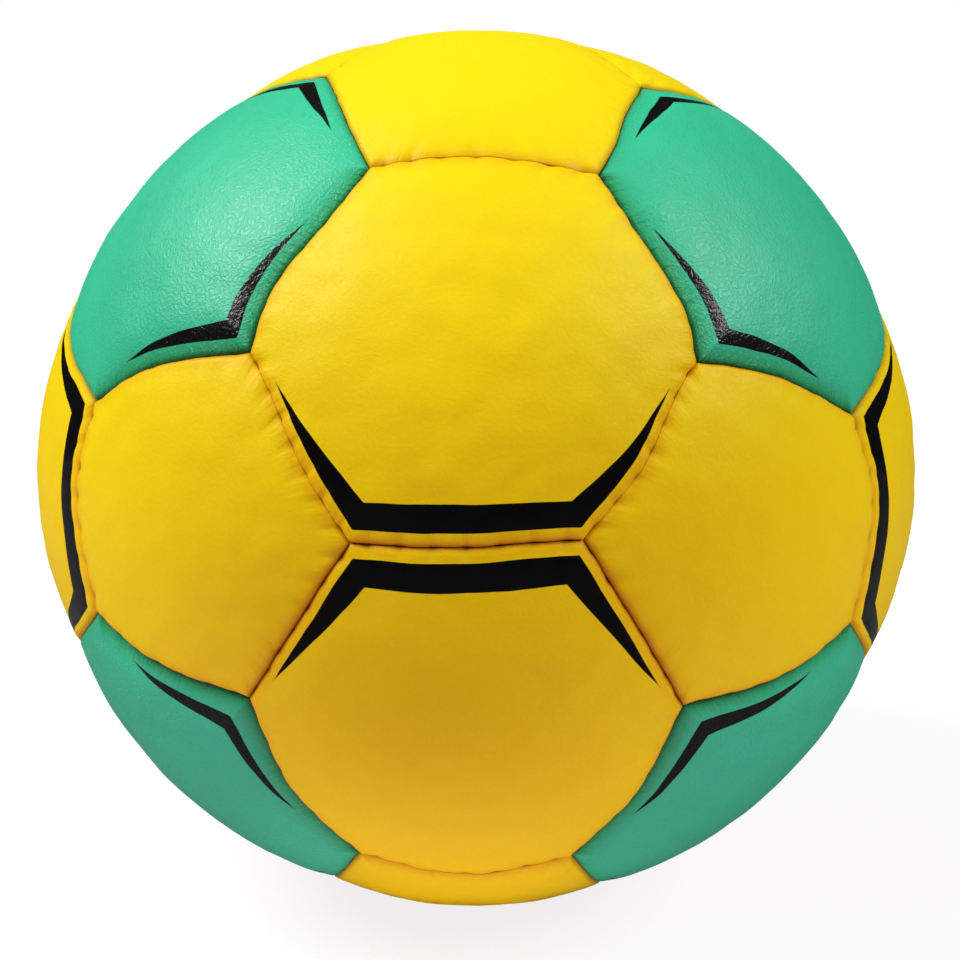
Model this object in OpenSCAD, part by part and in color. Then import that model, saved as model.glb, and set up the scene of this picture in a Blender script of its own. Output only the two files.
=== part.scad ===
/* [Ball] */
// Diameter of the ball over the crowns of its panels
ball_d = 188; // [170:1:210]
// Height of a hexagon panel's crown above the middle of its seams
hexagon_crown_h = 1.2; // [0.9:0.1:1.6]
// Height of a pentagon panel's crown above the middle of its seams
pentagon_crown_h = 1.05; // [0.8:0.05:1.4]

/* [Panels] */
// Thickness of a panel at its crown, skin and foam together
panel_t = 3.6; // [3.2:0.1:4.5]
// Thickness of the skin where it is turned in along a seam
turned_edge_t = 1.4; // [1:0.1:2]
// Radius at which the skin rolls over into a seam
seam_roll_r = 2.4; // [1.8:0.1:2.8]
// Gap between the two turned-in edges of a seam
seam_gap = 0.2; // [0.1:0.05:0.4]

/* [Lining] */
// Thickness of the layers of cloth behind a panel
lining_t = 1; // [0.6:0.1:1.4]
// Glue line between a panel and its lining
glue_gap = 0.05; // [0.02:0.01:0.1]
// Space between a lining and the turned-in edges round it
lining_side_gap = 0.15; // [0.1:0.05:0.4]

/* [Stitching] */
// Stitches along each seam
seam_stitches = 7; // [5:1:9]
// Width of the turned-in edge that stands free of the lining for the stitches
stitch_band_w = 2.2; // [1.6:0.1:3]
// Width of the waxed thread where it runs along a seam, pressed flat
thread_run_w = 0.9; // [0.6:0.05:1.2]
// Thickness of the thread there
thread_run_t = 0.5; // [0.3:0.05:0.7]
// Diameter of the thread where it is drawn through both edges
drawn_thread_d = 0.7; // [0.5:0.05:0.9]
// Space round the thread in its hole
thread_hole_gap = 0.08; // [0.05:0.01:0.15]

/* [Bladder] */
// Thickness of the bladder's wall
bladder_t = 1.2; // [0.8:0.1:2]
// Space between the bladder and the turned-in edges
bladder_gap = 0.3; // [0.2:0.05:0.6]
// Diameter of the balance patch opposite the valve
balance_patch_d = 24; // [16:1:30]
// Thickness of the balance patch
balance_patch_t = 1.1; // [0.6:0.1:1.6]

/* [Valve] */
// Diameter of the valve's stem
valve_stem_d = 8.6; // [8:0.1:11]
// How far the valve's face lies below the crown of its panel
valve_sink = 0.5; // [0.3:0.1:1]
// Depth of the stem below its face
valve_stem_h = 20; // [18:0.5:24]
// Diameter of the flange that joins the valve to the bladder
valve_flange_d = 26; // [18:1:32]
// Thickness of that flange
valve_flange_t = 1.2; // [0.8:0.1:1.4]
// Diameter of the patch that backs the valve's hole
valve_patch_d = 20; // [14:1:26]
// Space round the stem where it passes through the panel, its lining and the bladder
stem_gap = 0.1; // [0.05:0.05:0.3]
// Thickness of the bottom that closes the stem
stem_bottom_t = 1.2; // [0.8:0.1:2]

/* [Valve plug] */
// Diameter of the plug that seals the valve
plug_d = 4.8; // [4.2:0.1:5.2]
// Running clearance all round the plug
plug_clearance = 0.05; // [0.02:0.01:0.08]
// Length of the plug below its head
plug_h = 15; // [12:0.5:16]
// Diameter of the plug's head
plug_head_d = 6.2; // [5.8:0.1:6.6]
// Thickness of the plug's head
plug_head_t = 1; // [0.8:0.1:1.4]
// Length of the cone at the plug's end
plug_tip_h = 2; // [1:0.5:3]
// Diameter of the plug's end
plug_tip_d = 3.2; // [2.4:0.2:3.8]
// Diameter of the hole that takes the inflating needle
needle_hole_d = 2; // [1.8:0.1:2.4]
// Depth of that hole below the face of the plug
needle_hole_h = 7; // [5:0.5:10]

/* [Hidden] */
$fn = 96;
// A cut passes this far beyond what it cuts
overrun = 1;
// The roll's top lies this far above the edge of the dome that it meets
roll_rise = 0.3;
// The roll passes this far below the flat of the turned-in edge, so that the two cross
roll_bite = 0.1;
// Chamfer on the rim of the valve
valve_chamfer = 0.5;
// Share of a seam's half angle that a roll runs past the corner
roll_reach_share = 1.6;

golden = (1 + sqrt(5)) / 2;
ball_r = ball_d / 2;

// The ball is a truncated icosahedron blown round: 12 pentagons and 20 hexagons with equal edges
pentagon_sides = 5;
hexagon_sides = 6;
// Distance from the centre to a corner of that solid where its edges are 1 long
corner_r = sqrt(58 + 18 * sqrt(5)) / 4;
// Angle at the ball's centre between a panel's axis and the middle of its seams
function seam_angle(sides) =
    atan2(1 / (2 * tan(180 / sides)), sqrt(pow(corner_r, 2) - 1 / pow(2 * sin(180 / sides), 2)));
// Half the angle that one seam spans, seen from the centre
seam_half_a = asin(1 / (2 * corner_r));

// Radii of the layers, from the panels' backs inwards
panel_back_r = ball_r - panel_t;
lining_r = panel_back_r - glue_gap;
lining_back_r = lining_r - lining_t;
turned_edge_r = lining_back_r - stitch_band_w;
stitch_r = lining_back_r - stitch_band_w / 2;
bladder_r = turned_edge_r - bladder_gap;

// A seam's layers, measured square to the plane through the seam and the ball's centre
edge_face_d = seam_gap / 2;
edge_back_d = edge_face_d + turned_edge_t;
lining_side_d = edge_back_d + lining_side_gap;
stitch_pitch_a = 2 * seam_half_a / seam_stitches;
stitch_angles = [for (i = [0:seam_stitches - 1]) (i - (seam_stitches - 1) / 2) * stitch_pitch_a];

// Valve heights along the axis of its panel
valve_face_z = ball_r - valve_sink;
flange_r = bladder_r + glue_gap + valve_flange_t;
plug_seat_z = valve_face_z - plug_head_t;

function turned(v, times) = times == 0 ? v : turned([v.z, v.x, v.y], times - 1);
pentagon_axes = [for (a = [-1, 1], b = [-1, 1], t = [0:2]) turned([a, b * golden, 0], t)];
yellow_hexagon_axes = [for (a = [-1, 1], b = [-1, 1], t = [0:2]) turned([0, a * golden, b / golden], t)];
green_hexagon_axes = [for (a = [-1, 1], b = [-1, 1], c = [-1, 1]) [a, b, c]];
hexagon_axes = concat(yellow_hexagon_axes, green_hexagon_axes);
valve_axis = [0, 1, golden];

function unit(v) = v / norm(v);
function beside(a, b) = unit(a) * unit(b) > cos(45);
// Placement whose Z runs along axis and whose X leans towards another direction
function placement(axis, toward) =
    let (z = unit(axis), x = unit(toward - (toward * z) * z), y = cross(z, x))
    [[x.x, y.x, z.x, 0], [x.y, y.y, z.y, 0], [x.z, y.z, z.z, 0], [0, 0, 0, 1]];
function first_beside(axis, others) = [for (o = others) if (beside(axis, o)) o][0];
function pentagon_placement(axis) = placement(axis, first_beside(axis, hexagon_axes));
function hexagon_placement(axis) = placement(axis, first_beside(axis, pentagon_axes));

function numbered(name, i) = str(name, "_", i < 9 ? "0" : "", i + 1);
pentagon_names = [for (i = [0:len(pentagon_axes) - 1]) numbered("pentagon_panel", i)];
yellow_hexagon_names = [for (i = [0:len(yellow_hexagon_axes) - 1]) numbered("yellow_hexagon_panel", i)];
green_hexagon_names = [for (i = [0:len(green_hexagon_axes) - 1]) numbered("green_hexagon_panel", i)];

yellow = [0.92, 0.78, 0.06];
green = [0.25, 0.68, 0.52];

// Stands a shape on a panel's seam: Z points into the panel and X at the middle of the seam
module at_seam(sides, i) {
    rotate([0, seam_angle(sides) - 90, i * 360 / sides]) children();
}

// Everything inside a panel's seams that keeps a distance from their planes
module inside_seams(sides, distance) {
    intersection_for(i = [0:sides - 1])
        at_seam(sides, i)
            translate([-ball_r, -ball_r, distance])
                cube([ball_d, ball_d, ball_d]);
}

// What the roll takes away from the sharp edge of a panel
module roll_cut(crown_h) {
    roll_centre_r = ball_r - crown_h + roll_rise - seam_roll_r;
    roll_centre_d = edge_face_d + seam_roll_r - roll_bite;
    sweep_a = seam_half_a * roll_reach_share;
    rotate([0, 0, -sweep_a])
        rotate_extrude(angle = 2 * sweep_a)
            difference() {
                translate([roll_centre_r, -overrun])
                    square([seam_roll_r + panel_t, roll_centre_d + overrun]);
                translate([roll_centre_r, roll_centre_d])
                    circle(r = seam_roll_r);
            }
}

module stitch_holes() {
    for (a = stitch_angles)
        rotate([0, 0, a])
            translate([stitch_r, 0, -overrun])
                cylinder(d = drawn_thread_d + 2 * thread_hole_gap, h = edge_back_d + 2 * overrun);
}

// A crowned panel with rolled seams, its edges turned in and pierced for the stitches
module panel(sides, crown_h) {
    seam_r = ball_r - crown_h;
    dome_up = (pow(ball_r, 2) - pow(seam_r, 2)) / (2 * (ball_r - seam_r * cos(seam_angle(sides))));
    difference() {
        intersection() {
            translate([0, 0, dome_up]) sphere(r = ball_r - dome_up);
            inside_seams(sides, edge_face_d);
        }
        sphere(r = turned_edge_r);
        intersection() {
            sphere(r = panel_back_r);
            inside_seams(sides, edge_back_d);
        }
        for (i = [0:sides - 1])
            at_seam(sides, i) {
                roll_cut(crown_h);
                stitch_holes();
            }
    }
}

module lining(sides) {
    difference() {
        intersection() {
            sphere(r = lining_r);
            inside_seams(sides, lining_side_d);
        }
        sphere(r = lining_back_r);
    }
}

// One seam's thread: two runs along the turned-in edges, joined through every pair of holes
module seam_thread() {
    run_a = (seam_stitches - 1) * stitch_pitch_a + 2 * atan(thread_run_w / 2 / stitch_r);
    for (side = [0, 1])
        mirror([0, 0, side])
            rotate([0, 0, -run_a / 2])
                rotate_extrude(angle = run_a)
                    translate([stitch_r - thread_run_w / 2, edge_back_d])
                        square([thread_run_w, thread_run_t]);
    for (a = stitch_angles)
        rotate([0, 0, a])
            translate([stitch_r, 0, 0])
                cylinder(d = drawn_thread_d, h = 2 * edge_back_d + thread_run_t, center = true);
}

// A round piece of sheet that lies on the ball's inner layers, square to Z
module round_patch(patch_d, inner_r, outer_r) {
    intersection() {
        difference() {
            sphere(r = outer_r);
            sphere(r = inner_r);
        }
        cylinder(d = patch_d, h = ball_r);
    }
}

module stem_hole() {
    cylinder(d = valve_stem_d + 2 * stem_gap, h = ball_d);
}

module pentagon_panel(axis) {
    color(yellow)
        multmatrix(pentagon_placement(axis))
            difference() {
                panel(pentagon_sides, pentagon_crown_h);
                if (axis == valve_axis) stem_hole();
            }
}

module hexagon_panel(axis, skin) {
    color(skin)
        multmatrix(hexagon_placement(axis))
            panel(hexagon_sides, hexagon_crown_h);
}

module pentagon_linings() {
    color("ivory")
        for (axis = pentagon_axes)
            multmatrix(pentagon_placement(axis))
                difference() {
                    lining(pentagon_sides);
                    if (axis == valve_axis) stem_hole();
                }
}

module hexagon_linings() {
    color("ivory")
        for (axis = hexagon_axes)
            multmatrix(hexagon_placement(axis))
                lining(hexagon_sides);
}

module pentagon_seam_threads() {
    color("dimgray")
        for (axis = pentagon_axes)
            multmatrix(pentagon_placement(axis))
                for (i = [0:pentagon_sides - 1])
                    at_seam(pentagon_sides, i) seam_thread();
}

module hexagon_seam_threads() {
    color("dimgray")
        for (i = [0:len(hexagon_axes) - 2], j = [i + 1:len(hexagon_axes) - 1])
            if (beside(hexagon_axes[i], hexagon_axes[j]))
                multmatrix(placement(
                    unit(hexagon_axes[i]) - unit(hexagon_axes[j]),
                    unit(hexagon_axes[i]) + unit(hexagon_axes[j])
                ))
                    seam_thread();
}

module bladder() {
    color("tan")
        multmatrix(pentagon_placement(valve_axis))
            difference() {
                sphere(r = bladder_r);
                sphere(r = bladder_r - bladder_t);
                stem_hole();
            }
}

module balance_patch() {
    color("peru")
        multmatrix(pentagon_placement(-valve_axis))
            round_patch(balance_patch_d, bladder_r + glue_gap, bladder_r + glue_gap + balance_patch_t);
}

module valve_housing() {
    bore_d = plug_d + 2 * plug_clearance;
    color([0.1, 0.1, 0.1])
        multmatrix(pentagon_placement(valve_axis))
            difference() {
                union() {
                    round_patch(valve_flange_d, bladder_r + glue_gap, flange_r);
                    translate([0, 0, valve_face_z - valve_stem_h])
                        cylinder(d = valve_stem_d, h = valve_stem_h - valve_chamfer);
                    translate([0, 0, valve_face_z - valve_chamfer])
                        cylinder(d1 = valve_stem_d, d2 = valve_stem_d - 2 * valve_chamfer, h = valve_chamfer);
                }
                translate([0, 0, valve_face_z - valve_stem_h + stem_bottom_t])
                    cylinder(d = bore_d, h = valve_stem_h);
                translate([0, 0, plug_seat_z])
                    cylinder(d = plug_head_d + 2 * plug_clearance, h = plug_head_t + overrun);
            }
}

module valve_patch() {
    color("dimgray")
        multmatrix(pentagon_placement(valve_axis))
            difference() {
                round_patch(valve_patch_d, flange_r + glue_gap, lining_back_r - glue_gap);
                stem_hole();
            }
}

module valve_plug() {
    color([0.2, 0.2, 0.2])
        multmatrix(pentagon_placement(valve_axis))
            difference() {
                union() {
                    translate([0, 0, plug_seat_z])
                        cylinder(d = plug_head_d, h = plug_head_t);
                    translate([0, 0, plug_seat_z - plug_h + plug_tip_h])
                        cylinder(d = plug_d, h = plug_h - plug_tip_h);
                    translate([0, 0, plug_seat_z - plug_h])
                        cylinder(d1 = plug_tip_d, d2 = plug_d, h = plug_tip_h);
                }
                translate([0, 0, valve_face_z - needle_hole_h])
                    cylinder(d = needle_hole_d, h = needle_hole_h + overrun);
            }
}

for (i = [0:len(pentagon_axes) - 1])
    pentagon_panel(pentagon_axes[i]);
for (i = [0:len(yellow_hexagon_axes) - 1])
    hexagon_panel(yellow_hexagon_axes[i], yellow);
for (i = [0:len(green_hexagon_axes) - 1])
    hexagon_panel(green_hexagon_axes[i], green);
pentagon_linings();
hexagon_linings();
pentagon_seam_threads();
hexagon_seam_threads();
bladder();
balance_patch();
valve_housing();
valve_patch();
valve_plug();
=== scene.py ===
import functools
import math

import bpy
import numpy
from mathutils import Matrix, Vector


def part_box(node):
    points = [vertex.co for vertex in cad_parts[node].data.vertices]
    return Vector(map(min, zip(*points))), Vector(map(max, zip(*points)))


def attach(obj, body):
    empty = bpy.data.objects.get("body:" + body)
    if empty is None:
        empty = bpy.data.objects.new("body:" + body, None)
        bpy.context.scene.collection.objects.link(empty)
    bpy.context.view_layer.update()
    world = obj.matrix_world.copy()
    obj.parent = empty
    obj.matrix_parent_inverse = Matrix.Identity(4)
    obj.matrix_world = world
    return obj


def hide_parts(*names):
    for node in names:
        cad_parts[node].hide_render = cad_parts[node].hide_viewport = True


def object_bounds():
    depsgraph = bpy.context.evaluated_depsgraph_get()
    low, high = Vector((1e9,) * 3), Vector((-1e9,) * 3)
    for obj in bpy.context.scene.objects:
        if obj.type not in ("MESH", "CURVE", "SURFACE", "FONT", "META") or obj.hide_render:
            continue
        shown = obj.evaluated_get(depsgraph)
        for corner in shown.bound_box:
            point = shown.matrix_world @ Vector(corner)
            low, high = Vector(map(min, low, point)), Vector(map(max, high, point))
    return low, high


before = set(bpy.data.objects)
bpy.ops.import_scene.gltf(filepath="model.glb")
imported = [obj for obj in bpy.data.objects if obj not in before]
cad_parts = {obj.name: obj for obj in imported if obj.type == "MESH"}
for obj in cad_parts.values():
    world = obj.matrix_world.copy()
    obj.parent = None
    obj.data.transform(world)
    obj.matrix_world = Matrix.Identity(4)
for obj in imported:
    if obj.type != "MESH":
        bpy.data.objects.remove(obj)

cad_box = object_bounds()
MM = 0.001
bpy.context.scene.view_settings.view_transform = "Standard"


# Camera
# A short portrait lens a few ball widths away, a little above the middle of the ball
# and turned a hair clockwise, as the photograph has it.
ball_radius = 94 * MM
outline_radius = 93.4 * MM
outline_px = 435.5
ball_centre_px = (476.2, 467.0)
photo_px = 960
camera_distance = 2.85 * outline_radius
camera_azimuth, camera_elevation, camera_roll = (math.radians(angle) for angle in (0.53, 8.21, 0.98))

camera_data = bpy.data.cameras.new("camera")
camera = bpy.data.objects.new("camera", camera_data)
bpy.context.scene.collection.objects.link(camera)
bpy.context.scene.camera = camera
toward_camera = Vector((
    math.sin(camera_azimuth) * math.cos(camera_elevation),
    -math.cos(camera_azimuth) * math.cos(camera_elevation),
    math.sin(camera_elevation),
))
level = Vector((math.cos(camera_azimuth), math.sin(camera_azimuth), 0))
upright = toward_camera.cross(level)
camera_right = math.cos(camera_roll) * level + math.sin(camera_roll) * upright
camera_up = math.cos(camera_roll) * upright - math.sin(camera_roll) * level
camera_turn = Matrix((camera_right, camera_up, toward_camera)).transposed().to_4x4()
camera.matrix_world = Matrix.Translation(toward_camera * camera_distance) @ camera_turn
focal_px = outline_px * math.sqrt((camera_distance / outline_radius) ** 2 - 1)
camera_data.lens = focal_px / photo_px * camera_data.sensor_width
camera_data.shift_x = (photo_px / 2 - ball_centre_px[0]) / photo_px
camera_data.shift_y = (ball_centre_px[1] - photo_px / 2) / photo_px
camera_data.clip_start = 0.01
camera_data.clip_end = 20


# Panel blanks
# The cover is cut as 12 pentagons and 20 hexagons of foam-backed synthetic leather.
# A blank is a closed flat pattern: its face, the edge that is turned in, and its back.
EDGE_STEPS = 80
FACE_RINGS = 40
PENTAGON, HEXAGON = 5, 6
golden = (1 + math.sqrt(5)) / 2
corner_distance = math.sqrt(58 + 18 * math.sqrt(5)) / 4  # of a truncated icosahedron with edges 1 long
seam_span = 2 * ball_radius * math.asin(0.5 / corner_distance)
hole_radius = 4.4 * MM


def seam_angle(sides):
    """The angle at the ball's centre between a panel's middle and the middle of its seams."""
    half_side = math.pi / sides
    rise = math.sqrt(corner_distance ** 2 - (0.5 / math.sin(half_side)) ** 2)
    return math.atan2(0.5 / math.tan(half_side), rise)


def blank_rings(hole_share):
    """Each ring's share of the way to the edge, its steps along one side, and its row.

    Row 0 to 1 is the face, 1 to 2 the roll into the seam, 2 to 3 the turned-in edge,
    3 to 4 its end, 4 to 5 its back, and 5 to 6 the back of the panel.
    """
    shoulder = 0.83
    shoulder_rings, roll_rings, edge_rings = 10, 10, 3
    back_rings = ((0.9, 40), (0.75, 20), (0.5, 10), (0.25, 5))
    fewest_steps = 8 if hole_share else 0
    rings = []
    for i in range(FACE_RINGS + 1):
        share = shoulder * i / FACE_RINGS
        if share >= hole_share:
            rings.append((share, max(i, fewest_steps), share))
    for i in range(1, shoulder_rings + 1):
        share = shoulder + (1 - shoulder) * i / shoulder_rings
        rings.append((share, EDGE_STEPS, share))
    rings += [(1, EDGE_STEPS, 1 + i / roll_rings) for i in range(1, roll_rings + 1)]
    rings += [(1, EDGE_STEPS, 2 + i / edge_rings) for i in range(1, edge_rings + 1)]
    rings += [(1, EDGE_STEPS, 4), (1, EDGE_STEPS, 5)]
    rings += [(share, steps, 6 - share) for share, steps in back_rings]
    rings.append((hole_share, fewest_steps, 6))
    return rings


def cut_blank(sides, hole_share=0.0):
    """A closed blank: its points, the side that each belongs to, and its triangles.

    A point holds its flat place and its row.
    """
    sector = 2 * math.pi / sides
    points, side_of, triangles, starts = [], [], [], []
    rings = blank_rings(hole_share)
    for share, steps, row in rings:
        starts.append(len(points))
        if steps == 0:
            points.append((0, 0, row))
            side_of.append(0)
            continue
        for side in range(sides):
            across = Vector((math.cos(side * sector), math.sin(side * sector)))
            along = Vector((-across.y, across.x))
            for step in range(steps):
                place = across + along * (2 * step / steps - 1) * math.tan(sector / 2)
                points.append((place.x * share, place.y * share, row))
                side_of.append(side)

    def point(ring, side, step):
        steps = rings[ring][1]
        if steps == 0:
            return starts[ring]
        return starts[ring] + (side * steps + step) % (sides * steps)

    def join(near, far):
        near_steps, far_steps = rings[near][1], rings[far][1]
        for side in range(sides):
            i = j = 0
            while i < near_steps or j < far_steps:
                if j == far_steps or (i < near_steps and (i + 1) * far_steps < (j + 1) * near_steps):
                    triangles.append((point(near, side, i), point(far, side, j), point(near, side, i + 1)))
                    i += 1
                else:
                    triangles.append((point(near, side, i), point(far, side, j), point(far, side, j + 1)))
                    j += 1

    for ring in range(len(rings) - 1):
        join(ring, ring + 1)
    if hole_share:
        join(len(rings) - 1, 0)
    return points, side_of, triangles


# Forming
# Air pressure crowns every panel, its edges roll over into the seams, and each
# stitch pulls a pucker into the roll. One tree forms every blank in this way.
stitches = 7
crown_height = {PENTAGON: 0.8 * MM, HEXAGON: 0.9 * MM}
seam_sink = {"pentagon_panel": 0.05 * MM, "yellow_hexagon_panel": 0.05 * MM, "green_hexagon_panel": 1.1 * MM}
shared_sizes = {
    "Ball radius": ball_radius,
    "Seam roll": 1.3 * MM,
    "Seam depth": 0.85 * MM,
    "Half gap": 0.02 * MM,
    "Turned edge thickness": 1.4 * MM,
    "Turned edge radius": 87.15 * MM,
    "Panel back radius": 90.4 * MM,
    "Seam span": seam_span,
    "Stitches": stitches,
    "Pucker depth": 0.28 * MM,
    "Pucker width": 1.1 * MM,
    "Pucker reach": 2.4 * MM,
    "Pull": 0.06 * MM,
    "Bow reach": 9 * MM,
    "Sink reach": 4.5 * MM,
    "Wobble": 0.3 * MM,
    "Wobble size": 9 * MM,
}


def feed(tree, slot, value):
    """Links a field to a node's slot, or writes a plain value there."""
    if isinstance(value, Field):
        tree.links.new(value.socket, slot)
    elif value is not None:
        slot.default_value = value


class Field:
    """A value that a node tree works out. Arithmetic on it adds nodes to that tree."""

    def __init__(self, tree, socket):
        self.tree = tree
        self.socket = socket

    def math(self, operation, *others):
        node = self.tree.nodes.new("ShaderNodeMath")
        node.operation = operation
        for slot, value in zip(node.inputs, (self, *others)):
            feed(self.tree, slot, value)
        return Field(self.tree, node.outputs[0])

    def vector(self, operation, *others, output=0):
        node = self.tree.nodes.new("ShaderNodeVectorMath")
        node.operation = operation
        slots = [node.inputs["Scale"]] if operation == "SCALE" else list(node.inputs[1:3])
        feed(self.tree, node.inputs[0], self)
        for slot, value in zip(slots, others):
            feed(self.tree, slot, value)
        return Field(self.tree, node.outputs[output])

    def __add__(self, other):
        return self.math("ADD", other)

    def __sub__(self, other):
        return self.math("SUBTRACT", other)

    def __mul__(self, other):
        return self.math("MULTIPLY", other)

    def __truediv__(self, other):
        return self.math("DIVIDE", other)

    def __neg__(self):
        return self.math("MULTIPLY", -1)

    def __rsub__(self, other):
        return (-self).math("ADD", other)

    def clamped(self):
        node = self.tree.nodes.new("ShaderNodeClamp")
        feed(self.tree, node.inputs["Value"], self)
        return Field(self.tree, node.outputs[0])

    def bell(self, width):
        """1 where the field is 0, falling off smoothly over a width."""
        ratio = self / width
        return (-(ratio * ratio)).math("EXPONENT")

    def ramp(self, low, high, start=0.0, end=1.0):
        """A smooth step from start to end as the field goes from low to high."""
        node = self.tree.nodes.new("ShaderNodeMapRange")
        node.interpolation_type = "SMOOTHSTEP"
        for name, value in zip(("Value", "From Min", "From Max", "To Min", "To Max"), (self, low, high, start, end)):
            feed(self.tree, node.inputs[name], value)
        return Field(self.tree, node.outputs[0])

    def toward(self, other, share):
        """Part of the way from this field to another."""
        return self + (-self).math("ADD", other) * share


def joined(tree, x, y, z=0.0):
    """A vector field from three numbers."""
    node = tree.nodes.new("ShaderNodeCombineXYZ")
    for slot, value in zip(node.inputs, (x, y, z)):
        feed(tree, slot, value)
    return Field(tree, node.outputs[0])


def parted(vector):
    """The three numbers of a vector field."""
    node = vector.tree.nodes.new("ShaderNodeSeparateXYZ")
    feed(vector.tree, node.inputs[0], vector)
    return [Field(vector.tree, output) for output in node.outputs]


def placed(tree, kind, output=0, settings=None, **values):
    """Adds a node, sets its properties and named inputs, and gives one of its outputs."""
    node = tree.nodes.new(kind)
    for name, value in (settings or {}).items():
        setattr(node, name, value)
    for name, value in values.items():
        feed(tree, node.inputs[name.replace("_", " ")], value)
    return Field(tree, node.outputs[output])


def new_tree(name, kind, inputs, outputs):
    """A node tree with named inputs and outputs, and its inputs as fields."""
    tree = bpy.data.node_groups.new(name, kind)
    for label, socket in inputs.items():
        tree.interface.new_socket(label, in_out="INPUT", socket_type=socket)
    for label, socket in outputs.items():
        tree.interface.new_socket(label, in_out="OUTPUT", socket_type=socket)
    entry = tree.nodes.new("NodeGroupInput")
    leave = tree.nodes.new("NodeGroupOutput")
    return tree, {label: Field(tree, entry.outputs[label]) for label in inputs}, leave


NUMBER, VECTOR = "NodeSocketFloat", "NodeSocketVector"
forming_numbers = ("Sides", "Seam angle", "Crown height", "Seam sink", "Seed", *shared_sizes)

# What differs from seam to seam: how far it bows, how fully its edges roll over, and how deep it sinks
seam_traits = ("bow", "fullness", "sunk")
tight_roll, half_roll, green_roll, gaping_roll, full_roll = 0.42, 0.5, 0.7, 0.85, 1.0


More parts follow.
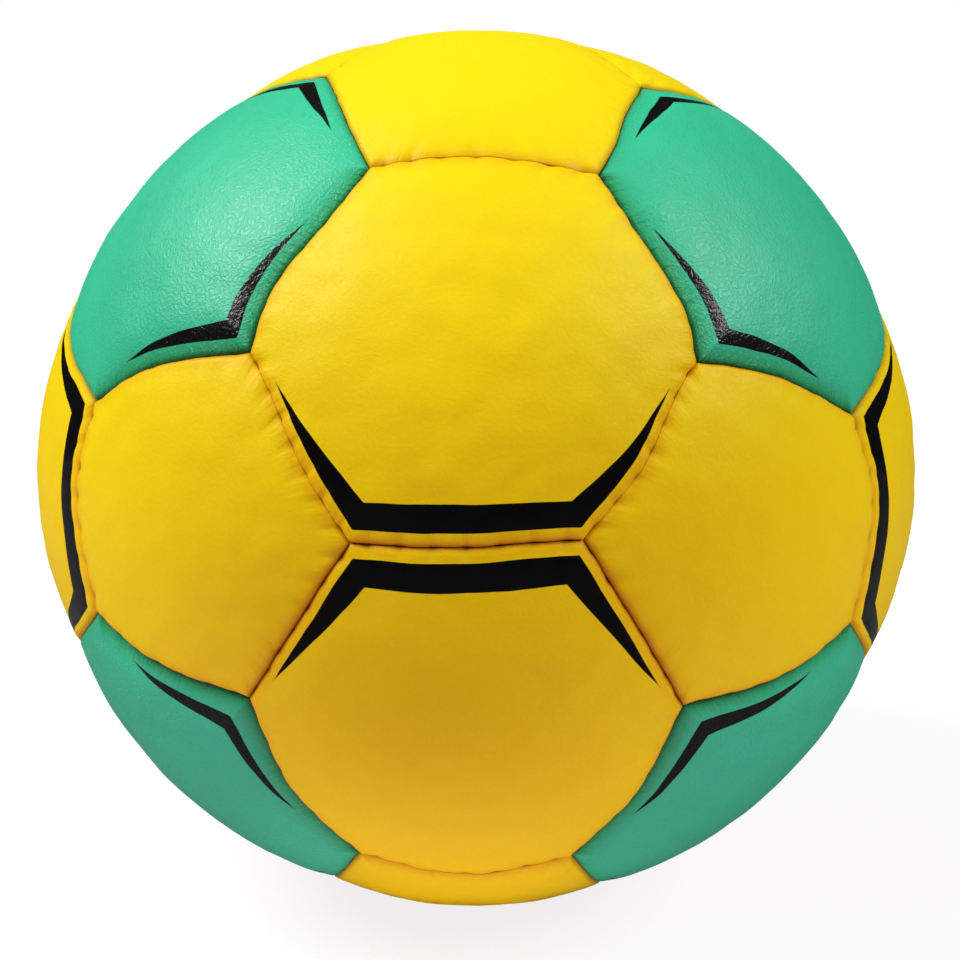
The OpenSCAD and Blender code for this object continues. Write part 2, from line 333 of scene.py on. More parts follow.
def forming_tree():
    inputs = {"Blank": "NodeSocketGeometry"}
    inputs.update({name: NUMBER for name in forming_numbers})
    inputs.update({"Across": VECTOR, "Along": VECTOR, "Outwards": VECTOR, "Skin": "NodeSocketMaterial"})
    tree, value, leave = new_tree("form_panel", "GeometryNodeTree", inputs, {"Panel": "NodeSocketGeometry"})

    # Where the point lies: its side of the panel, its share of the way there, and along that side
    x, y, row = parted(placed(tree, "GeometryNodeInputPosition"))
    sector = value["Sides"].math("POWER", -1) * (2 * math.pi)
    bearing = y.math("ARCTAN2", x)
    turn = (bearing / sector).math("ROUND") * sector
    fold = bearing - turn
    share = (x * x + y * y).math("SQRT") * fold.math("COSINE")
    along_share = fold.math("TANGENT") / (sector * 0.5).math("TANGENT")
    rolled = (row - 1).clamped()
    turned = (row - 2).clamped()
    ended = (row - 3).clamped()
    raised = (row - 4).clamped()

    # Its distance from the plane of the seam. Every edge rolls over fully at its corners
    bow, fullness, sunk = (
        placed(tree, "GeometryNodeInputNamedAttribute", settings={"data_type": "FLOAT"}, Name=name)
        for name in seam_traits
    )
    corner_sharpness = 6
    at_corner = along_share.math("ABSOLUTE").math("POWER", corner_sharpness)
    full_turn = fullness.toward(full_roll, at_corner) * (math.pi / 2)
    roll_turn = rolled * full_turn
    radius = value["Ball radius"]
    half_width = radius * value["Seam angle"]
    edge = value["Half gap"] + value["Seam roll"] * (1 - roll_turn.math("SINE") / full_turn.math("SINE"))
    edge = edge + value["Turned edge thickness"] * ended
    distance = edge + (half_width - edge) * (1 - share)

    # The pull of the stitches, uneven from one to the next and calmer where the seam bows
    least_pull, pull_spread = 0.6, 0.8
    calming_bow, calmed_pull = 0.5 * MM, 0.45
    stitch = (along_share + 1) * value["Stitches"] * 0.5
    stitch_number = stitch.math("FLOOR")
    off_stitch = (stitch - stitch_number - 0.5) * value["Seam span"] / value["Stitches"]
    chance = placed(
        tree, "ShaderNodeTexWhiteNoise", settings={"noise_dimensions": "3D"},
        Vector=joined(tree, stitch_number, (bearing / sector).math("ROUND"), value["Seed"]),
    )
    calm = bow.math("ABSOLUTE").ramp(0.0, calming_bow, 1.0, calmed_pull)
    pulled = off_stitch.bell(value["Pucker width"]) * (chance * pull_spread + least_pull) * (1 - turned) * calm
    bowed = bow * (1 - along_share * along_share) * distance.bell(value["Bow reach"]) * (1 - turned)
    shaped = distance + value["Pull"] * pulled * rolled - bowed

    # Its bearing from the ball's centre: straight seams outside, round in the middle
    round_to, straight_from = 0.2, 0.6

    def flat_place(from_seam):
        apothem = (value["Seam angle"] - from_seam / radius).math("TANGENT")
        straight_along = apothem * along_share * (sector * 0.5).math("TANGENT")
        roundness = share.ramp(round_to, straight_from, 1.0, 0.0)
        swing = along_share * sector * 0.5
        out = apothem.toward(apothem * swing.math("COSINE"), roundness)
        side = straight_along.toward(apothem * swing.math("SINE"), roundness)
        cosine, sine = turn.math("COSINE"), turn.math("SINE")
        return out * cosine - side * sine, out * sine + side * cosine

    u, v = flat_place(shaped)
    direction = joined(tree, u, v, 1.0).vector("NORMALIZE")
    facing = parted(direction)[2]

    # The dome through the crown and the edge, then the roll, the turned-in edge and the back
    corner_sink = 0.5
    edge_radius = radius - value["Crown height"]
    dome_up = (radius * radius - edge_radius * edge_radius) / (
        (radius - edge_radius * value["Seam angle"].math("COSINE")) * 2
    )
    dome_radius = radius - dome_up
    dome = dome_up * facing + (
        dome_radius * dome_radius - dome_up * dome_up * (1 - facing * facing)
    ).math("SQRT")
    height = dome - value["Seam depth"] * (1 - roll_turn.math("COSINE"))
    height = height - value["Seam sink"] * sunk.toward(corner_sink, at_corner) * distance.bell(value["Sink reach"])
    height = height - value["Pucker depth"] * pulled * distance.bell(value["Pucker reach"])
    height = height.toward(value["Turned edge radius"], turned)
    height = height.toward(value["Panel back radius"], raised)
    local = direction.vector("SCALE", height)

    # Its place on the ball, and the unevenness of hand sewing, alike for neighbours
    lx, ly, lz = parted(local)
    place = value["Across"].vector("SCALE", lx)
    place = place.vector("ADD", value["Along"].vector("SCALE", ly))
    place = place.vector("ADD", value["Outwards"].vector("SCALE", lz))
    unevenness = placed(
        tree, "ShaderNodeTexNoise", output=1, settings={"noise_dimensions": "3D"},
        Vector=place, Scale=value["Wobble size"].math("POWER", -1), Detail=1.0,
    )
    unevenness = unevenness.vector("SUBTRACT", (0.5, 0.5, 0.5)).vector("SCALE", value["Wobble"] * 2 * (1 - turned))
    place = place.vector("ADD", unevenness)

    flat_u, flat_v = flat_place(distance)
    maps = {
        "panel_uv": joined(tree, flat_u * radius, flat_v * radius),
        "seam_uv": joined(tree, along_share.math("ABSOLUTE") * value["Seam span"] * 0.5, distance),
    }
    geometry = value["Blank"]
    for name, field in maps.items():
        geometry = placed(
            tree, "GeometryNodeStoreNamedAttribute", settings={"data_type": "FLOAT2", "domain": "CORNER"},
            Geometry=geometry, Name=name, Value=field,
        )
    geometry = placed(tree, "GeometryNodeSetPosition", Geometry=geometry, Position=place)
    geometry = placed(tree, "GeometryNodeSetShadeSmooth", Geometry=geometry, Shade_Smooth=True)
    geometry = placed(tree, "GeometryNodeRealizeInstances", Geometry=geometry)
    geometry = placed(tree, "GeometryNodeSetMaterial", Geometry=geometry, Material=value["Skin"])
    feed(tree, leave.inputs["Panel"], geometry)
    return tree


form_panel = forming_tree()


# Leather grain
# The embossed grain of the skin: short crooked wrinkles under a millimetre apart,
# and finer pores. Every leather here uses it, pressed deeper or flatter.
def grain_group():
    outputs = {"Height": NUMBER, "Wrinkle": NUMBER, "Mottle": NUMBER}
    tree, value, leave = new_tree("leather_grain", "ShaderNodeTree", {"Wrinkle spacing": NUMBER}, outputs)
    place = placed(tree, "ShaderNodeTexCoord", output=3)
    density = value["Wrinkle spacing"].math("POWER", -1)

    # How many of each come to one wrinkle, how far the wrinkles stray, and how deep they and the pores are
    bends, ridges_each, pores_each, clouds = 0.5, 0.9, 2.6, 0.03
    straying, wrinkle_width = 1.6, 0.1
    wrinkle_depth, pore_height = 0.6, 0.5
    bend = placed(tree, "ShaderNodeTexNoise", output=1, Vector=place, Scale=density * bends, Detail=2.0)
    bent = place.vector("ADD", bend.vector("SCALE", value["Wrinkle spacing"] * straying))
    ridges = placed(tree, "ShaderNodeTexNoise", Vector=bent, Scale=density * ridges_each, Detail=1.5, Roughness=0.45)
    wrinkle = (ridges - 0.5).bell(wrinkle_width)
    pores = placed(tree, "ShaderNodeTexNoise", Vector=place, Scale=density * pores_each, Detail=2.0)
    mottle = placed(tree, "ShaderNodeTexNoise", Vector=place, Scale=density * clouds, Detail=3.0)
    feed(tree, leave.inputs["Height"], pores * pore_height - wrinkle * wrinkle_depth)
    feed(tree, leave.inputs["Wrinkle"], wrinkle)
    feed(tree, leave.inputs["Mottle"], mottle)
    return tree


# Seam creases
# Where the skin rolls into a seam it is gathered by the stitches: fine folds run square
# to the seam, the roll gets painted shade, and a darker painted shade marks the seam line where it gapes and at each
# stitch.
def crease_group():
    inputs = {"Fold spacing": NUMBER, "Reach": NUMBER, "Crease width": NUMBER, "Stitch spacing": NUMBER}
    outputs = {"Height": NUMBER, "Crease": NUMBER, "Line": NUMBER}
    tree, value, leave = new_tree("seam_crease", "ShaderNodeTree", inputs, outputs)
    along, distance, _ = parted(placed(tree, "ShaderNodeUVMap", settings={"uv_map": "seam_uv"}))
    x, y, z = parted(placed(tree, "ShaderNodeTexCoord", output=3))

    # Folds are drawn out across the seam and change along the ball. Widths are shares of a stitch or a crease
    drawn_out, change, folds_each = 0.16, 0.08, 0.7
    stitch_width, stitch_pit_shade, line_width = 0.18, 0.45, 0.3
    folds = placed(
        tree, "ShaderNodeTexNoise", Vector=joined(tree, along, distance * drawn_out, (x + y + z) * change),
        Scale=value["Fold spacing"].math("POWER", -1) * folds_each, Detail=1.0, Distortion=0.3,
    )
    fold = (folds - 0.5) * 2 * distance.bell(value["Reach"])
    stitch = along / value["Stitch spacing"]
    at_stitch = (stitch - stitch.math("ROUND")).bell(stitch_width)
    fullness, sunk = (
        placed(tree, "ShaderNodeAttribute", output=2, settings={"attribute_name": name}) for name in seam_traits[1:]
    )
    gaping = fullness.ramp(half_roll, gaping_roll)
    line = distance.bell(value["Crease width"] * line_width)
    feed(tree, leave.inputs["Height"], fold)
    # Painted shade on the roll, full at frontal seams and weaker at side seams through the sunk trait
    feed(tree, leave.inputs["Crease"], distance.bell(value["Crease width"]) * sunk)
    # Darker painted shade along the seam line where the seam gapes, and at each stitch pit
    feed(tree, leave.inputs["Line"], line * gaping.math("MAXIMUM", at_stitch * stitch_pit_shade))
    return tree


leather_grain = grain_group()
seam_crease = crease_group()


def grouped(tree, group, **values):
    """Places a node group in a material, and gives its outputs by name."""
    node = tree.nodes.new("ShaderNodeGroup")
    node.node_tree = group
    for name, value in values.items():
        feed(tree, node.inputs[name.replace("_", " ")], value)
    return {output.name: Field(tree, output) for output in node.outputs}


def blended(tree, share, first, second):
    """One colour mixed into another."""
    node = tree.nodes.new("ShaderNodeMix")
    node.data_type = "RGBA"
    feed(tree, node.inputs["Factor"], share)
    feed(tree, node.inputs[6], first)
    feed(tree, node.inputs[7], second)
    return Field(tree, node.outputs[2])


def bumped(tree, height, distance, normal=None):
    return placed(tree, "ShaderNodeBump", Height=height, Distance=distance, Strength=1.0, Normal=normal)


def darkened(colour, share):
    return tuple(part * share for part in colour[:3]) + (1,)


def new_material(name):
    material = bpy.data.materials.new(name)
    material.use_nodes = True
    tree = material.node_tree
    return material, tree, tree.nodes["Principled BSDF"]


def dress(tree, shader, colour, roughness, normal):
    """Gives a material its colour, its roughness and its relief."""
    for name, field in (("Base Color", colour), ("Roughness", roughness), ("Normal", normal)):
        feed(tree, shader.inputs[name], field)


# Printed marks
# Plain black marks printed on the skins before sewing: a bracket along three seams
# of a yellow hexagon, and a chevron in two of a green one's alternate corners.
hexagon_reach = ball_radius * math.tan(seam_angle(HEXAGON))
edge_squeeze = math.cos(seam_angle(HEXAGON)) ** 2  # from a panel's flat map to the ball, square to a seam
ink_blur = 0.06 * MM


def mark_group(
    name, folds, first_bearing, base, arm_near, arm_far, tip, tip_share,
    uneven_near=0.0, uneven_share=0.0, swell=0.0,
):
    """The mask of a mark whose arms run along two seams from a corner, or from a base between them.

    At the corner an arm reaches from arm_near to arm_far off its seam, and it ends at tip, tip_share of
    the seam further on. Hand is 1 or -1: on which side the first arm lies. It differs from the other by
    twice what is uneven. The attribute print_shift moves the corner further from the seams.
    """
    tree, value, leave = new_tree(name, "ShaderNodeTree", {"Hand": NUMBER}, {"Ink": NUMBER})
    u, v, _ = parted(placed(tree, "ShaderNodeUVMap", settings={"uv_map": "panel_uv"}))
    reach = (u * u + v * v).math("SQRT")
    bearing = v.math("ARCTAN2", u) - first_bearing
    place = (bearing / (2 * math.pi / folds)).math("ROUND")
    bearing = bearing - place * (2 * math.pi / folds)
    out = reach * bearing.math("COSINE")
    lean = math.pi / 3 if base else math.pi / 6
    edge_length = 2 * hexagon_reach * math.tan(math.pi / HEXAGON)
    shift = placed(tree, "ShaderNodeAttribute", output=2, settings={"attribute_name": "print_shift"})
    outer, inner = [], []
    for arm in (1, -1):
        side = reach * bearing.math("SINE") * value["Hand"] * arm
        from_seam = (hexagon_reach - (out * math.cos(lean) + side * math.sin(lean))) * edge_squeeze
        along = (side * math.cos(lean) - out * math.sin(lean)) / edge_length + 0.5
        taper = along / (tip_share + arm * uneven_share)
        near, far = shift + (arm_near + arm * uneven_near), shift + arm_far
        outer.append(from_seam - (taper * (-near + tip) + near))
        inner.append(from_seam - (taper * (-far + tip) + far) - taper * (1 - taper) * (4 * swell))
    if base:
        from_base = (hexagon_reach - out) * edge_squeeze
        outer.append(from_base - base[0])
        inner.append(from_base - base[1])
    nearest = [functools.reduce(lambda one, other: one.math("MINIMUM", other), edges) for edges in (outer, inner)]
    ink = nearest[0].math("MINIMUM", -nearest[1]).ramp(-ink_blur, ink_blur)
    feed(tree, leave.inputs["Ink"], ink if base else ink * place.math("ABSOLUTE").clamped())
    return tree


bracket_mark = mark_group(
    "bracket_mark", folds=1, first_bearing=0.0, base=(2.3 * MM, 6.7 * MM),
    arm_near=1.8 * MM, arm_far=6.6 * MM, tip=1.9 * MM, tip_share=0.8,
)
chevron_mark = mark_group(
    "chevron_mark", folds=3, first_bearing=math.pi / 6, base=None,
    arm_near=4.8 * MM, arm_far=7.8 * MM, tip=3.1 * MM, tip_share=0.655,
    uneven_near=0.2 * MM, uneven_share=-0.035, swell=0.4 * MM,
)


# Skins
# Glossy-soft synthetic leather, dyed through: yellow or green, with the black marks
# printed over the grain in a thin hard ink that catches the light on each wrinkle.
fold_reach = 3.2 * MM
skin_roughness, wrinkle_roughness, ink_roughness = 0.4, 0.1, 0.28
# The grain's wrinkles are darkened at the first share; the seam lines take painted shade at the second
wrinkle_shade, line_shade_share = 0.05, 0.8
ink_black = (0.003, 0.0032, 0.0028, 1)


def leather(
    name, paints, mark=None, hand=1.0, grain=1.0 * MM, grain_depth=0.022 * MM,
    folds=1.1 * MM, fold_depth=0.1 * MM, crease=1.75 * MM, shade=0.75, sheen=0.1,
):
    """A skin. Its paints are a light and a dark dye, the painted shade of its creases, and the darker painted shade
    of its seam lines and stitch pits.
    """
    light, dark, shaded, seam_line_shade = paints
    material, tree, shader = new_material(name)
    pressed = grouped(tree, leather_grain, Wrinkle_spacing=grain)
    gathered = grouped(
        tree, seam_crease, Fold_spacing=folds, Reach=fold_reach, Crease_width=crease,
        Stitch_spacing=seam_span / stitches,
    )
    colour = blended(tree, pressed["Mottle"].ramp(0.3, 0.7), light, dark)
    colour = blended(tree, pressed["Wrinkle"] * wrinkle_shade, colour, darkened(dark, 0.6))
    # Painted shade on the rolls into the seams
    colour = blended(tree, gathered["Crease"] * shade, colour, shaded)
    # Darker painted shade along the seam lines and in the stitch pits
    colour = blended(tree, gathered["Line"] * line_shade_share, colour, seam_line_shade)
    roughness = pressed["Wrinkle"] * wrinkle_roughness + skin_roughness
    if mark:
        ink = grouped(tree, mark, Hand=hand)["Ink"]
        colour = blended(tree, ink, colour, ink_black)
        roughness = roughness.toward(ink_roughness, ink)
    normal = bumped(tree, pressed["Height"], grain_depth, normal=bumped(tree, gathered["Height"], fold_depth))
    dress(tree, shader, colour, roughness, normal)
    shader.inputs["Specular IOR Level"].default_value = sheen
    return material


# Paints: light dye, dark dye, painted crease shade, and the darker painted shade of the seam lines
yellow_paints = (0.88, 0.69, 0.004, 1), (0.86, 0.665, 0.004, 1), (0.8, 0.45, 0.003, 1), (0.4, 0.14, 0.002, 1)
green_paints = (0.036, 0.56, 0.3, 1), (0.032, 0.52, 0.27, 1), (0.008, 0.26, 0.05, 1), (0.003, 0.05, 0.01, 1)
plain_yellow = leather("plain_yellow_leather", yellow_paints)
bracket_yellow = leather("bracket_yellow_leather", yellow_paints, mark=bracket_mark)
chevron_greens = {
    hand: leather(
        f"chevron_green_leather_{side}", green_paints, mark=chevron_mark, hand=hand,
        grain=0.85 * MM, grain_depth=0.07 * MM, folds=0.7 * MM, fold_depth=0.25 * MM, crease=2.6 * MM,
        shade=0.9, sheen=0.32,
    )
    for hand, side in ((1.0, "left"), (-1.0, "right"))
}


# Sewing the cover
# The panels meet as the faces of a truncated icosahedron, three at each corner.
# Yellow panels swell over the green ones, so the seams between them bow.
def turned_over(vectors):
    """The same directions with the axes taking each other's place in turn."""
    return [Vector(v[k:] + v[:k]).normalized() for v in vectors for k in range(3)]


signs = (-1, 1)
pentagon_axes = turned_over([(a, b * golden, 0) for a in signs for b in signs])
yellow_axes = turned_over([(0, a * golden, b / golden) for a in signs for b in signs])
green_axes = [Vector((a, b, c)).normalized() for a in signs for b in signs for c in signs]
axes_of = {"pentagon_panel": pentagon_axes, "yellow_hexagon_panel": yellow_axes, "green_hexagon_panel": green_axes}
valve_axis = Vector((0, 1, golden)).normalized()
all_axes = [(axis, kind) for kind, axes in axes_of.items() for axis in axes]
same_way = math.radians(1)
neighbour_angle = math.radians(45)
pole_share = 0.9  # of an axis that points to the front, the back, the top or the bottom
yellow_over_green = 0.9 * MM

# Seams that face forward or back sink deep, and roll over fully beside a green panel. The yellow
# seams that gape are named by their middles in the photograph, and are the same on the back.
seam_depth_radius = 92.2 * MM
frontal_share = 0.61
# Side seams sink less, and their painted crease shade is weakened to this share
side_sink = 0.2
gaping_px = [(466, 547), (293, 629), (640, 631)]
gaping_angle = 0.1

# How much further from the seams a green panel's chevrons are printed, by the signs of its axis
chevron_shifts = {(-1, -1, 1): -2.0 * MM, (1, -1, 1): -0.5 * MM, (-1, -1, -1): 0.3 * MM, (1, -1, -1): -0.5 * MM}


def beside(axis, kinds):
    """The axes of neighbouring panels of some kinds."""
    return [other for other, kind in all_axes if kind in kinds and same_way < axis.angle(other) < neighbour_angle]


def seen_at(px):
    """The point of the cover that shows at a pixel of the photograph."""
    right_px, down_px = px[0] - ball_centre_px[0], px[1] - ball_centre_px[1]
    ray = (camera_right * right_px - camera_up * down_px - toward_camera * focal_px).normalized()
    origin = toward_camera * camera_distance
    reach = origin.dot(ray)
    return origin - ray * (reach + math.sqrt(max(reach ** 2 - origin.dot(origin) + seam_depth_radius ** 2, 0)))


def seam_side(axis, outward):
    """The seam traits of one side of a panel. A bow is how far it swells beyond the seam's even place."""
    neighbour = max(beside(axis, axes_of), key=lambda other: other.dot(outward))
    here, there = (any(one.angle(other) < same_way for other in green_axes) for one in (axis, neighbour))
    middle = (axis + neighbour).normalized()
    frontal = abs(middle.y) > frontal_share
    mirrored = Vector((middle.x, -abs(middle.y), middle.z))
    if here or there:
        fullness = full_roll if frontal else green_roll
    elif any(mirrored.angle(seen_at(px)) < gaping_angle for px in gaping_px):
        fullness = gaping_roll
    else:
        fullness = tight_roll
    return yellow_over_green * (there - here), fullness, 1.0 if frontal else side_sink


def panel_kind(node):
    return node.rsplit("_", 1)[0]


def panel_axis(node):
    low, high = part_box(node)
    middle = (Vector(low) + Vector(high)) / 2
    return min(axes_of[panel_kind(node)], key=lambda axis: axis.angle(middle))


def first_side(node, axis):
    """The neighbour that the blank's first side faces, so that marks fall where they do on the ball."""
    kind = panel_kind(node)
    if kind == "pentagon_panel":
        return beside(axis, ("yellow_hexagon_panel", "green_hexagon_panel"))[0]
    if kind == "yellow_hexagon_panel":
        partner = beside(axis, ("yellow_hexagon_panel",))[0]
        if abs(axis.y) > pole_share:
            return partner
        return min(beside(axis, ("pentagon_panel",)), key=lambda other: other.dot(partner))
    # The corner without a chevron lies between the two neighbours that lean most along the x axis
    sides = sorted(beside(axis, ("pentagon_panel", "yellow_hexagon_panel")), key=lambda other: -abs(other.x))[:2]
    return max(sides, key=lambda other: axis.cross(other).dot(sum(sides, Vector())))


blanks = {
    PENTAGON: cut_blank(PENTAGON),
    HEXAGON: cut_blank(HEXAGON),
    "valve": cut_blank(PENTAGON, hole_radius / (ball_radius * seam_angle(PENTAGON))),
}
socket_of = {item.name: item.identifier for item in form_panel.interface.items_tree if item.in_out == "INPUT"}


def sewn_panel(node, number):
    """The panel for one node, still with its forming modifier."""
    kind = panel_kind(node)
    axis = panel_axis(node)
    sides = PENTAGON if kind == "pentagon_panel" else HEXAGON
    is_valve_panel = kind == "pentagon_panel" and axis.angle(valve_axis) < same_way
    points, side_of, triangles = blanks["valve" if is_valve_panel else sides]
    mesh = bpy.data.meshes.new(node + "_skin")
    mesh.from_pydata(points, [], triangles)

    facing = first_side(node, axis)
    across = (facing - axis * facing.dot(axis)).normalized()
    along = axis.cross(across)
    outwards = [Matrix.Rotation(2 * math.pi * side / sides, 3, axis) @ across for side in range(sides)]
    for name, values in zip(seam_traits, zip(*(seam_side(axis, outward) for outward in outwards))):
        stored = mesh.attributes.new(name, "FLOAT", "POINT")
        stored.data.foreach_set("value", [values[side] for side in side_of])

    skin = plain_yellow
    if kind == "green_hexagon_panel":
        skin = chevron_greens[math.copysign(1.0, axis.x * axis.y * axis.z)]
        shift = chevron_shifts.get(tuple(round(place * 3 ** 0.5) for place in axis), 0.0)
        stored = mesh.attributes.new("print_shift", "FLOAT", "POINT")
        stored.data.foreach_set("value", [shift] * len(points))
    elif kind == "yellow_hexagon_panel" and abs(axis.z) < pole_share:
        skin = bracket_yellow
    values = {
        **shared_sizes,
        "Sides": sides,
        "Seam angle": seam_angle(sides),
        "Crown height": crown_height[sides],
        "Seam sink": seam_sink[kind],
        "Seed": number,
        "Across": tuple(across),
        "Along": tuple(along),
        "Outwards": tuple(axis),
        "Skin": skin,
    }
    panel = bpy.data.objects.new(node + "_skin", mesh)
    bpy.context.scene.collection.objects.link(panel)
    forming = panel.modifiers.new("forming", "NODES")
    forming.node_group = form_panel
    for name, value in values.items():
        forming[socket_of[name]] = float(value) if isinstance(value, (int, float)) else value
    return panel


# Fit of the cover
# No hand-sewn cover is even, so the skins are eased to the seams of the photograph: to their
# corners, their middles and points halfway between. Where a seam lies over the limb, the point
# of the limb before it is given, and how many mm further back the seam is.
corner_px = [
    (350, 543), (583, 540), (697, 362), (597, 175), (370, 168), (250, 352), (250, 697), (360, 852),
    (571, 855), (683, 705), (96, 402), (98, 611), (852, 415), (850, 622), (327, 76), (641, 87),
]
middle_px = [
    (81, 496), (869, 502), (475, 160), (466, 870), (466, 547), (293, 445), (650, 451), (293, 629), (640, 631),
    (302, 250), (654, 258), (154, 367), (791, 383), (160, 662), (782, 674), (295, 791), (633, 795),
    (342, 110), (624, 119), (73, 344), (881, 358), (718, 109),
]
quarter_px = [(268, 299), (686, 316)]
corner_over = [(77, 294, 3), (881, 308, 3)]
middle_over = [
    (78, 643, 3), (867, 659, 3), (241, 100, 3), (401, 38, 4), (563, 40, 4), (123, 213, 9), (838, 225, 9),
    (130, 731, 12), (812, 744, 12), (334, 878, 2.5), (600, 884, 2.5),
]
easing_reach = 17 * MM
easing_floor, easing_rise = 88.5 * MM, 2.5 * MM


def seam_places(shares):
    """The even places of every seam at some shares of the way from its middle to its corner, as directions."""
    places = []
    for axis in yellow_axes + green_axes:
        neighbour = beside(axis, axes_of)[0]
        across = (neighbour - axis * neighbour.dot(axis)).normalized()
        for side in range(HEXAGON):
            outward = Matrix.Rotation(2 * math.pi * side / HEXAGON, 3, axis) @ across
            swell = seam_side(axis, outward)[0] / ball_radius
            for share in shares:
                reach = math.tan(seam_angle(HEXAGON) + swell * (1 - share ** 2))
                along = axis.cross(outward) * (share * math.tan(math.pi / HEXAGON))
                places.append((axis + (outward + along) * reach).normalized())
    return places


even, targets = [], []
for shares, seen_px, over in (
    ((1,), corner_px, corner_over), ((0,), middle_px, middle_over), ((-0.5, 0.5), quarter_px, ()),
):
    places = seam_places(shares)
    found = [seen_at(px) for px in seen_px]
    found += [(seen_at(px) - toward_camera * deep * MM).normalized() * seam_depth_radius for *px, deep in over]
    targets += found
    even += [max(places, key=target.dot) * seam_depth_radius for target in found]
centres, shifts = numpy.array(even), numpy.array(targets) - numpy.array(even)


def nearness(points):
    """How strongly each point is drawn along with each of the known places."""
    gaps = numpy.linalg.norm(points[:, None] - centres[None], axis=2)
    return numpy.exp(-(gaps / easing_reach) ** 2)


pulls = numpy.linalg.solve(nearness(centres), shifts)


def ease(mesh):
    """Shifts the outer layers of a skin along the ball. Below the easing floor its edges stay at the threads."""
    points = numpy.empty(3 * len(mesh.vertices))
    mesh.vertices.foreach_get("co", points)
    points = points.reshape(-1, 3)
    height = numpy.linalg.norm(points, axis=1, keepdims=True)
    moved = points + nearness(points) @ pulls * ((height - easing_floor) / easing_rise).clip(0, 1)
    mesh.vertices.foreach_set("co", (moved * height / numpy.linalg.norm(moved, axis=1, keepdims=True)).ravel())
    mesh.update()


panel_nodes = [node for node in sorted(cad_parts) if panel_kind(node) in axes_of]
panels = [sewn_panel(node, number) for number, node in enumerate(panel_nodes)]
depsgraph = bpy.context.evaluated_depsgraph_get()
for node, panel in zip(panel_nodes, panels):
    flat = panel.data
    formed = bpy.data.meshes.new_from_object(
        panel.evaluated_get(depsgraph), preserve_all_data_layers=True, depsgraph=depsgraph
    )
    formed.name = node + "_formed"
    ease(formed)
    panel.modifiers.clear()
    panel.data = formed
    bpy.data.meshes.remove(flat)
    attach(panel, "ball")
    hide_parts(node)
    "green_panel" if panel_kind(node) == "green_hexagon_panel" else "yellow_panel"


# Linings
# Layers of plain-woven cloth glued behind every panel, which stop the skin from
# stretching. They are off-white, with the weave showing.
def finish_node(node, material):
    """Gives a piece that keeps its built shape its own material."""
    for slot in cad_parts[node].material_slots:
        slot.material = material


def weave_group():
    outputs = {"Height": NUMBER, "Lit": NUMBER, "Fuzz": NUMBER}
    tree, value, leave = new_tree("weave", "ShaderNodeTree", {"Thread spacing": NUMBER}, outputs)
    place = placed(tree, "ShaderNodeTexCoord", output=3)
    density = value["Thread spacing"].math("POWER", -1)
    x, y, z = parted(place.vector("SCALE", density * (2 * math.pi)))
    weave = x.math("SINE") * y.math("SINE") + y.math("SINE") * z.math("SINE") + z.math("SINE") * x.math("SINE")
    fuzz = placed(tree, "ShaderNodeTexNoise", Vector=place, Scale=density * 2, Detail=2.0)
    feed(tree, leave.inputs["Height"], weave + fuzz)
    feed(tree, leave.inputs["Lit"], (weave * 0.3 + fuzz * 0.5).clamped())
    feed(tree, leave.inputs["Fuzz"], fuzz)
    return tree


weave = weave_group()


def woven(name, colour, thread_spacing):
    material, tree, shader = new_material(name)
    cloth = grouped(tree, weave, Thread_spacing=thread_spacing)
    thread_height = 0.08 * MM
    lit = blended(tree, cloth["Lit"], darkened(colour, 0.6), colour)
    dress(tree, shader, lit, cloth["Fuzz"] * 0.15 + 0.8, bumped(tree, cloth["Height"], thread_height))
    return material


lining_cloth = woven("lining_cloth", (0.72, 0.67, 0.56, 1), 0.8 * MM)
for node in ("pentagon_linings", "hexagon_linings"):
    finish_node(node, lining_cloth)


# Seam threads
# Waxed polyester thread, drawn through both turned-in edges at every stitch and
# pressed flat along them. Dark brown, with a waxy shine and a slanting twist.
def flecks_group():
    """Soft unevenness at two sizes: clouds, dust or wax, and the ripples or marks between them."""
    inputs, outputs = {"Broad size": NUMBER, "Fine size": NUMBER}, {"Broad": NUMBER, "Fine": NUMBER}
    tree, value, leave = new_tree("flecks", "ShaderNodeTree", inputs, outputs)
    place = placed(tree, "ShaderNodeTexCoord", output=3)
    for size, output, detail in (("Broad size", "Broad", 4.0), ("Fine size", "Fine", 2.0)):
        noise = placed(tree, "ShaderNodeTexNoise", Vector=place, Scale=value[size].math("POWER", -1), Detail=detail)
        feed(tree, leave.inputs[output], noise)
    return tree


flecks = flecks_group()


def twisted_thread():
    material, tree, shader = new_material("waxed_thread")
    lay, strand_height = 0.45 * MM, 0.05 * MM
    brown, waxy = (0.05, 0.022, 0.008, 1), (0.13, 0.07, 0.03, 1)
    wax = grouped(tree, flecks, Broad_size=1.1 * MM, Fine_size=0.4 * MM)["Broad"]
    x, y, z = parted(placed(tree, "ShaderNodeTexCoord", output=3))
    twist = ((x + y + z) * (2 * math.pi / lay)).math("SINE")
    dress(tree, shader, blended(tree, wax, brown, waxy), wax * 0.3 + 0.3, bumped(tree, twist, strand_height))
    return material


waxed_thread = twisted_thread()
for node in ("pentagon_seam_threads", "hexagon_seam_threads"):
    finish_node(node, waxed_thread)


# Bladder and patches
# The air is held by a dipped latex bladder, honey-coloured and slightly sticky to
# look at. A patch of the same latex balances the valve, and a cloth one backs its hole.
def latex(name, colour):
    material, tree, shader = new_material(name)
    dipped = grouped(tree, flecks, Broad_size=22 * MM, Fine_size=3.8 * MM)
    ripple_height = 0.15 * MM
    cloudy = blended(tree, dipped["Broad"].ramp(0.3, 0.7), darkened(colour, 0.7), colour)
    dress(tree, shader, cloudy, dipped["Fine"] * 0.2 + 0.3, bumped(tree, dipped["Fine"], ripple_height))
    shader.inputs["Subsurface Weight"].default_value = 0.15
    return material


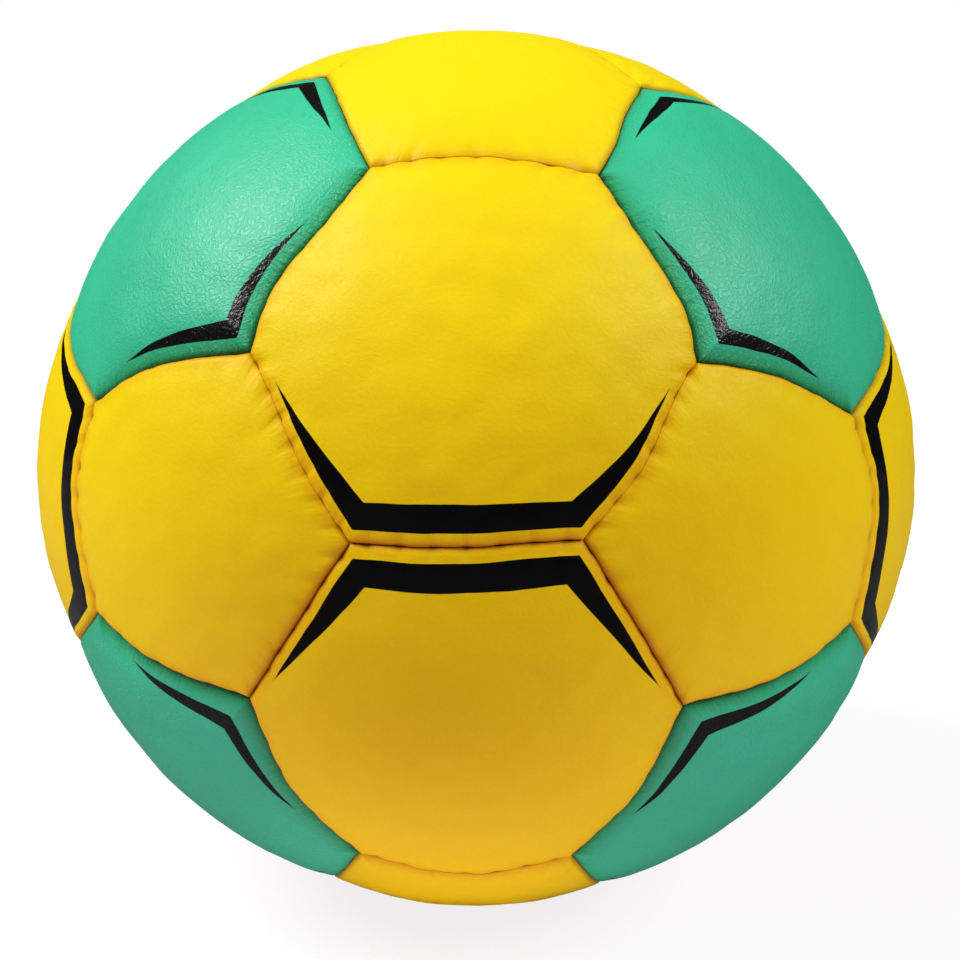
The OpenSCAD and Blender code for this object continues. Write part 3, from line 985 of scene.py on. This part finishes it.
finish_node("bladder", latex("bladder_latex", (0.62, 0.42, 0.2, 1)))
finish_node("balance_patch", latex("patch_latex", (0.5, 0.3, 0.13, 1)))
finish_node("valve_patch", woven("patch_cloth", (0.22, 0.2, 0.17, 1), 0.6 * MM))


# Valve
# A moulded black rubber housing fills the hole in its panel, and a softer plug is
# pushed into it. Both are matt, with a dusty bloom and fine moulding marks.
def rubber(name, colour, bloom):
    material, tree, shader = new_material(name)
    moulded = grouped(tree, flecks, Broad_size=2.4 * MM, Fine_size=0.4 * MM)
    mark_height = 0.03 * MM
    dusty = blended(tree, moulded["Broad"].ramp(0.4, 0.75), colour, bloom)
    dress(tree, shader, dusty, moulded["Broad"] * 0.25 + 0.5, bumped(tree, moulded["Fine"], mark_height))
    return material


finish_node("valve_housing", rubber("valve_rubber", (0.012, 0.012, 0.012, 1), (0.035, 0.034, 0.032, 1)))
finish_node("valve_plug", rubber("plug_rubber", (0.022, 0.022, 0.023, 1), (0.05, 0.05, 0.05, 1)))


# Studio
# Two softboxes high on either side give the sheen, and a warm table with a pale card in
# front throws some light up again. The set shows white all round, as for a shop's pictures.
floor_height = cad_box[0].z
floor_size = 6.0
ball_middle = (0, 0, 0)
softbox_size = (0.55, 0.55)
card_size = (0.34, 0.09)
card_x, card_y, card_lift = -0.01, -0.105, 1 * MM


def area_lamp(name, place, target, size, power):
    data = bpy.data.lights.new(name, "AREA")
    data.shape = "RECTANGLE"
    data.size, data.size_y = size
    data.energy = power
    lamp = bpy.data.objects.new(name, data)
    lamp.location = place
    lamp.rotation_euler = (Vector(target) - Vector(place)).to_track_quat("-Z", "Y").to_euler()
    bpy.context.scene.collection.objects.link(lamp)
    return lamp


area_lamp("left_lamp", (-0.788, -0.232, 0.875), ball_middle, softbox_size, 16.3)
area_lamp("right_lamp", (0.83, -0.37, 0.785), ball_middle, softbox_size, 10.7)
card = area_lamp("card", (card_x, card_y, floor_height + card_lift), (card_x, card_y, 1), card_size, 0.075)
card.visible_camera = card.visible_glossy = False


def ray_shares(tree):
    """1 for what the camera or glass looks through to, and the same for that or any mirrored ray.

    A mirror sees the white only straight behind the ball, and else the dark room.
    """
    behind_from = 0.88  # the share of a ray that runs straight back
    paths = tree.nodes.new("ShaderNodeLightPath")
    camera_ray, glossy_ray, passed_ray = (
        Field(tree, paths.outputs[name]) for name in ("Is Camera Ray", "Is Glossy Ray", "Is Transmission Ray")
    )
    incoming = Field(tree, tree.nodes.new("ShaderNodeNewGeometry").outputs["Incoming"])
    behind = (-parted(incoming)[1]).ramp(behind_from, 1.0)
    through = camera_ray.math("MAXIMUM", passed_ray)
    return through.math("MAXIMUM", glossy_ray * behind), through.math("MAXIMUM", glossy_ray)


world = bpy.data.worlds.new("studio")
bpy.context.scene.world = world
world.use_nodes = True
ambient = world.node_tree.nodes["Background"]
ambient_strength = 0.02
ambient.inputs["Color"].default_value = (1, 1, 1, 1)
white_seen, _ = ray_shares(world.node_tree)
feed(world.node_tree, ambient.inputs["Strength"], white_seen.math("MAXIMUM", ambient_strength))

floor_mesh = bpy.data.meshes.new("floor")
floor_mesh.from_pydata(
    [(x * floor_size, y * floor_size, floor_height) for x, y in ((-1, -1), (1, -1), (1, 1), (-1, 1))],
    [], [(0, 1, 2, 3)],
)
floor = bpy.data.objects.new("floor", floor_mesh)
bpy.context.scene.collection.objects.link(floor)
floor_paint, floor_tree, floor_shader = new_material("table")
white_seen, seen = ray_shares(floor_tree)
thrown_up, looked_at = (0.53, 0.275, 0.4, 1), (0.2, 0.2, 0.2, 1)
shade_from, shade_to, shaded_white = 0.1, 0.6, 0.84
feed(floor_tree, floor_shader.inputs["Base Color"], blended(floor_tree, seen, thrown_up, looked_at))
floor_shader.inputs["Roughness"].default_value = 0.9
floor_shader.inputs["Specular IOR Level"].default_value = 0.0
floor_shader.inputs["Emission Color"].default_value = (1, 1, 1, 1)
from_ball = placed(floor_tree, "ShaderNodeTexCoord", output=3).vector("LENGTH", output=1)
glow = white_seen * from_ball.ramp(shade_from, shade_to, shaded_white, 1.0)
feed(floor_tree, floor_shader.inputs["Emission Strength"], glow)
floor_mesh.materials.append(floor_paint)
